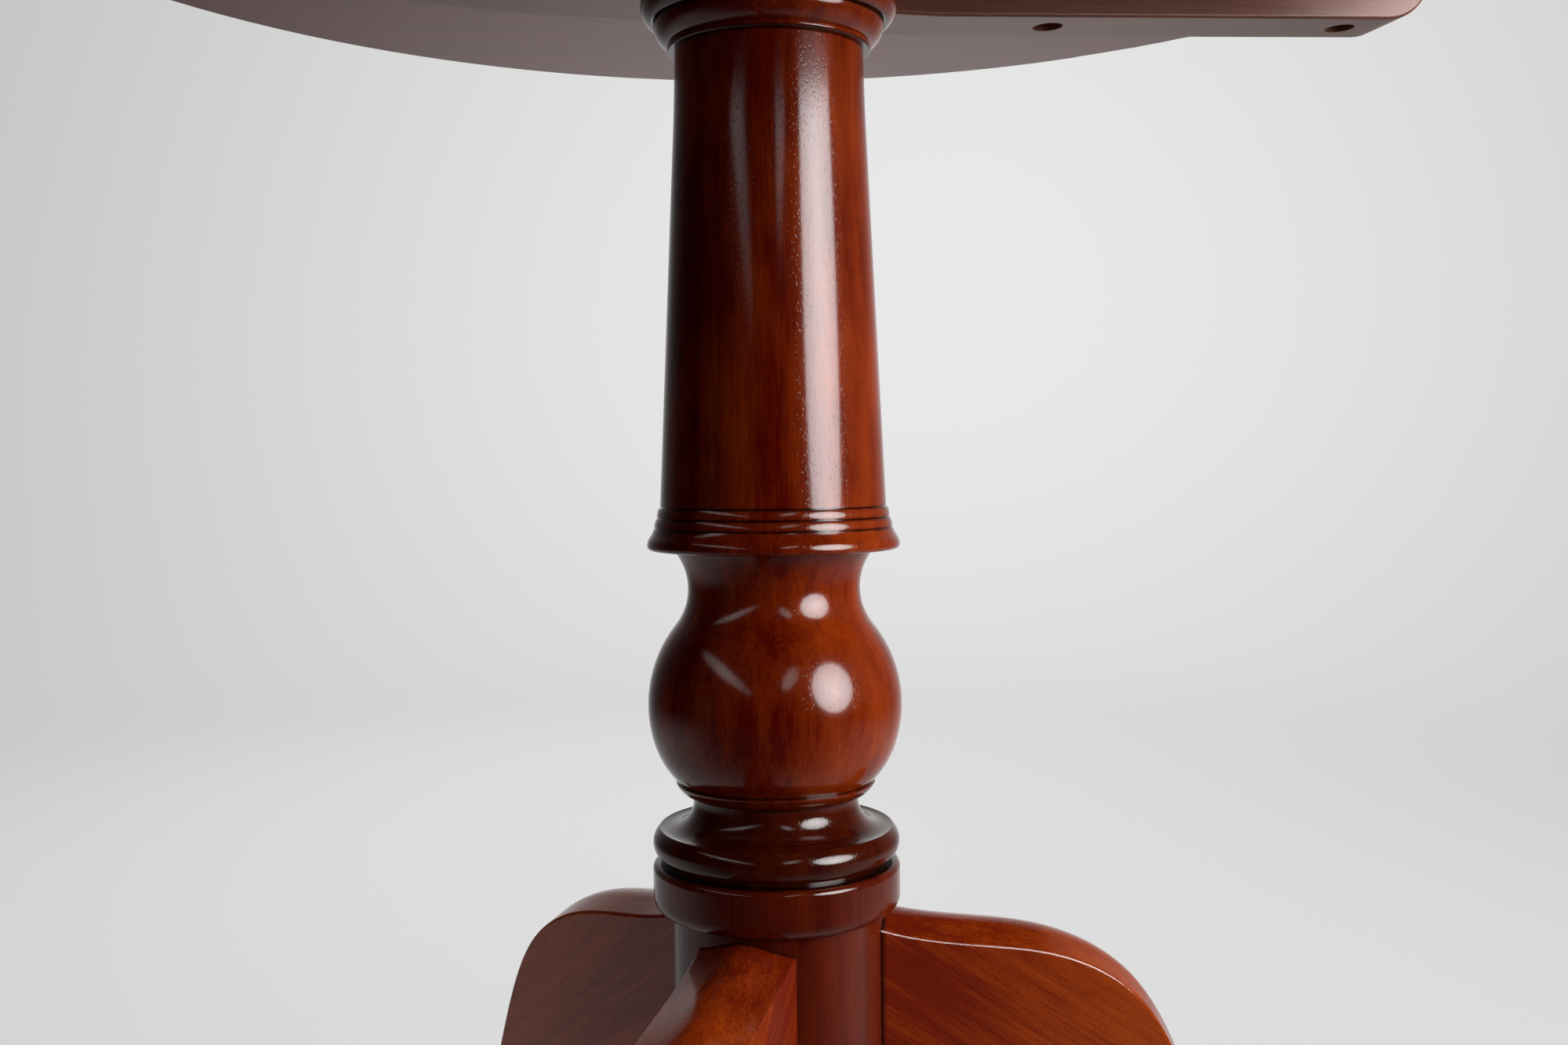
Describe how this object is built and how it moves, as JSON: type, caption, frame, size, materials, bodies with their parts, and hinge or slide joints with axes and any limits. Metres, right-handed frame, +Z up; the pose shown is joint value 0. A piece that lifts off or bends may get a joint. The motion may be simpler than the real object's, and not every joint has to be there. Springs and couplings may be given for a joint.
{
  "type": "tilt-top wine table",
  "caption": "Round tilt-top wine table: a turned column with collar, ball and rings on a tripod of flat-sided cabriole legs, with a top that tilts on a block and a slide catch.",
  "frame": {"origin": "on the floor under the column's axis", "axes": "+Z up along the column, +X along the bearers towards the right leg and the pivot pins, +Y towards the back bearer"},
  "size_m": [0.5799, 0.58, 0.5719],
  "materials": {
    "polished_mahogany": "red-brown stained mahogany under gloss lacquer",
    "stained_mahogany": "stained mahogany, satin and unpolished",
    "brass": "lacquered brass",
    "black_iron": "black japanned plate",
    "zinc_steel": "zinc plated steel",
    "nylon": "dark brown nylon"
  },
  "bodies": {
    "base": {"base_hub": "polished_mahogany", "column": "polished_mahogany", "leg_right": "polished_mahogany", "leg_left": "polished_mahogany", "leg_front": "polished_mahogany", "foot_glides": "nylon", "leg_brace": "black_iron", "leg_brace_screws": "zinc_steel", "column_rod": "zinc_steel", "column_washer": "zinc_steel", "column_nut": "zinc_steel", "tilt_block": "stained_mahogany", "block_wedge": "stained_mahogany", "catch_strike": "brass", "catch_strike_screws": "brass"},
    "top": {"table_top": "polished_mahogany", "bearer_front": "stained_mahogany", "bearer_back": "stained_mahogany", "bearer_screws": "zinc_steel", "pivot_pin_front": "zinc_steel", "pivot_pin_back": "zinc_steel", "catch_plate": "brass", "catch_straps": "brass", "catch_screws": "brass"},
    "catch": {"catch_bolt": "brass", "catch_knob": "brass"}
  },
  "joints": [
    {"name": "top_tilt", "type": "hinge", "parent": "base", "child": "top", "pos_m": [0.03, 0, 0.5379], "axis": [0, 1, 0], "range_deg": [0, 90]},
    {"name": "catch_slide", "type": "slide", "parent": "top", "child": "catch", "axis": [1, 0, 0], "range_m": [0, 0.01]}
  ]
}
